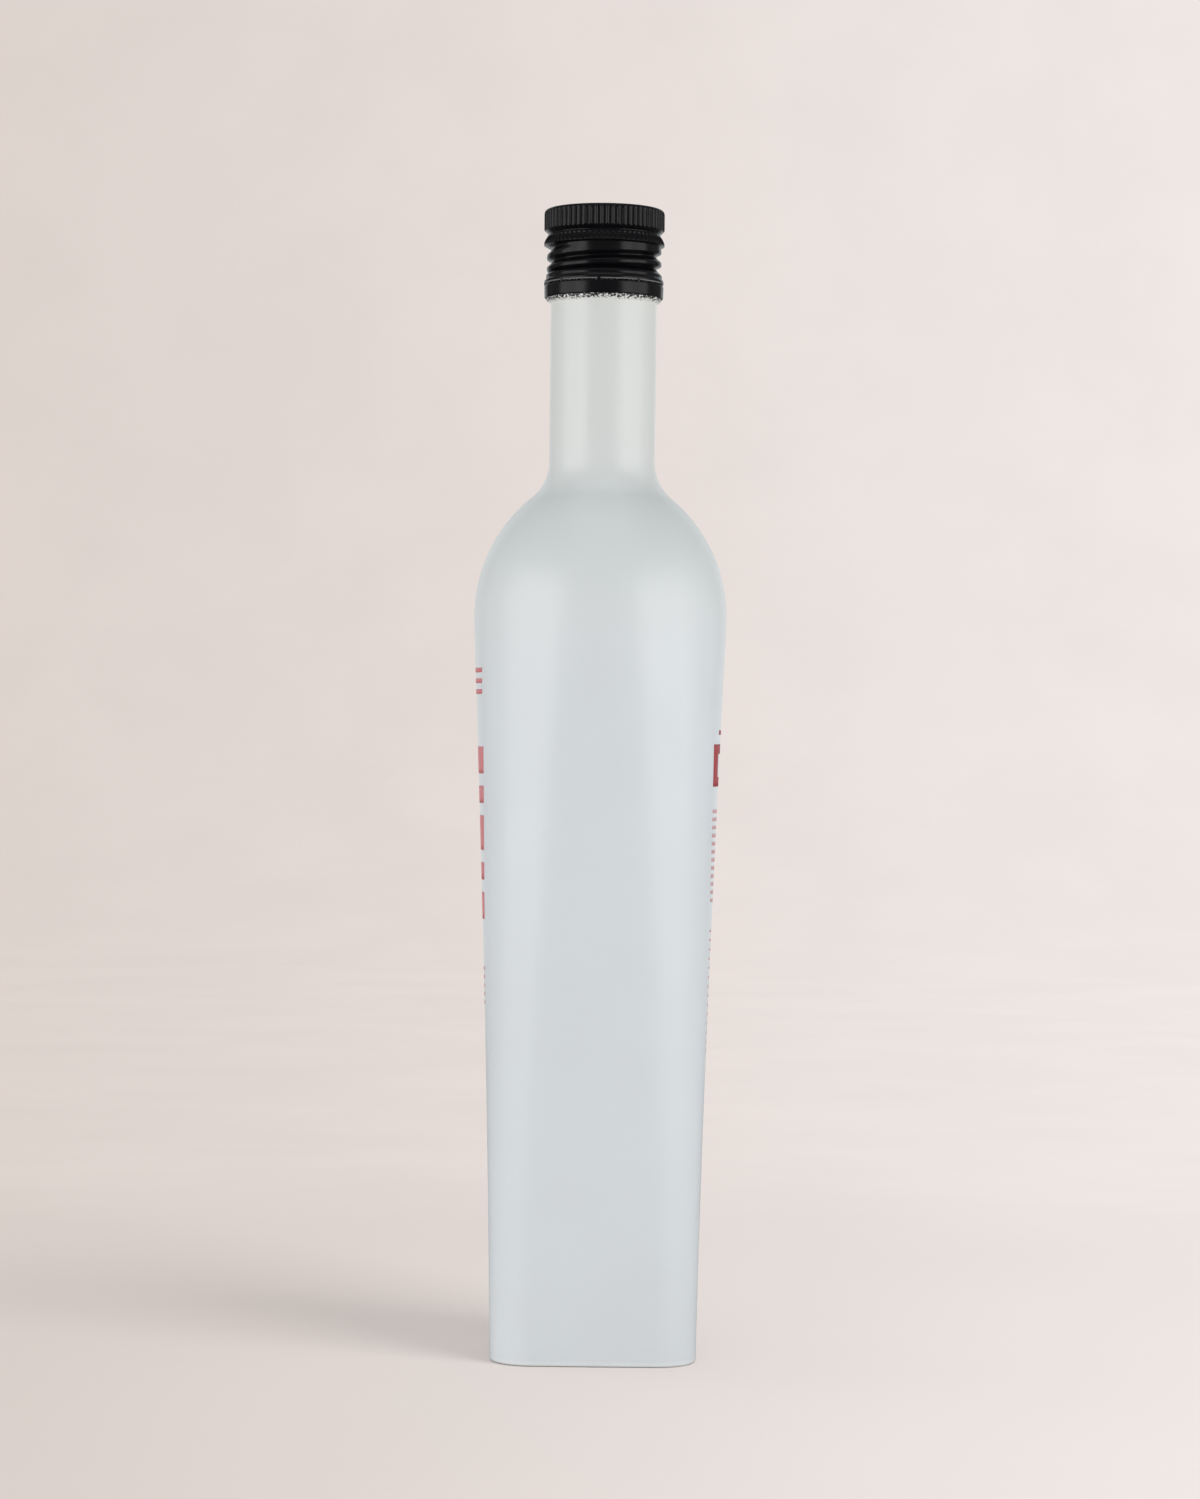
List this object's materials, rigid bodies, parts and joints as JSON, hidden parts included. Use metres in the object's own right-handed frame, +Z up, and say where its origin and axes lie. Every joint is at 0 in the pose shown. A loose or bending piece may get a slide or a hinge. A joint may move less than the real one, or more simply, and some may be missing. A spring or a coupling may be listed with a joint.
{
  "type": "oil bottle",
  "caption": "Tall frosted glass oil bottle with a round shoulder running down into a square foot, closed by a black roll-on screw cap with a tamper band.",
  "frame": {"origin": "middle of the foot, on the plane that the bottle stands on", "axes": "+Z up along the bottle's axis to the cap; the plain panels face -Y and +Y, the printed panels face -X and +X"},
  "size_m": [0.0664, 0.0664, 0.3],
  "materials": {
    "bottle": "satin",
    "cap": "satin"
  },
  "bodies": {
    "root": {"bottle": "bottle", "cap": "cap"}
  },
  "joints": []
}
